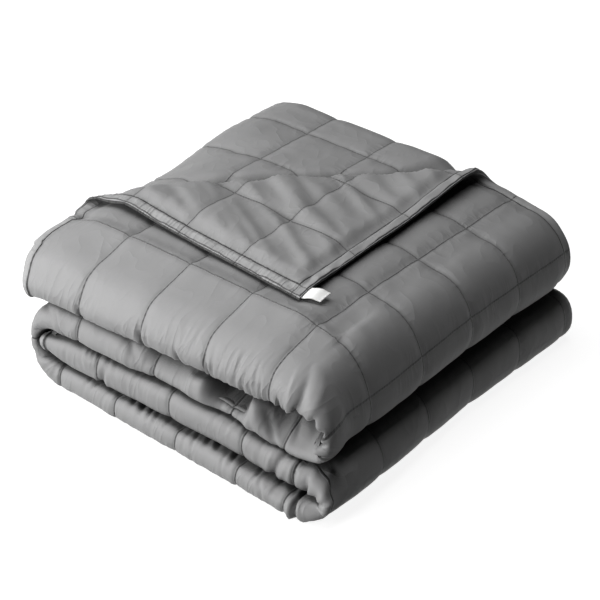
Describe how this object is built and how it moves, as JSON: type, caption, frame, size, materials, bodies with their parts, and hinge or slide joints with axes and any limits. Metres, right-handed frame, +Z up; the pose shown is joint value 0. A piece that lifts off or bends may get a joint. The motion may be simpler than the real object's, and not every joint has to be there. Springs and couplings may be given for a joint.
{
  "type": "weighted blanket",
  "caption": "Quilted weighted blanket, folded back and forth into a square stack, with one corner turned back.",
  "frame": {"origin": "middle of the stack's flat underside, on the surface that it rests on", "axes": "+Z up, through the layers; +X towards the side with the big rounded turn of the cloth; -Y towards the front, where the folded edges of the four strips show"},
  "size_m": [0.513, 0.5346, 0.2228],
  "materials": {
    "quilt_cloth": "mid-grey fine cotton weave with a soft satin sheen",
    "label_tape": "white woven tape, bare"
  },
  "bodies": {
    "root": {"blanket": "quilt_cloth", "label": "label_tape"}
  },
  "joints": []
}
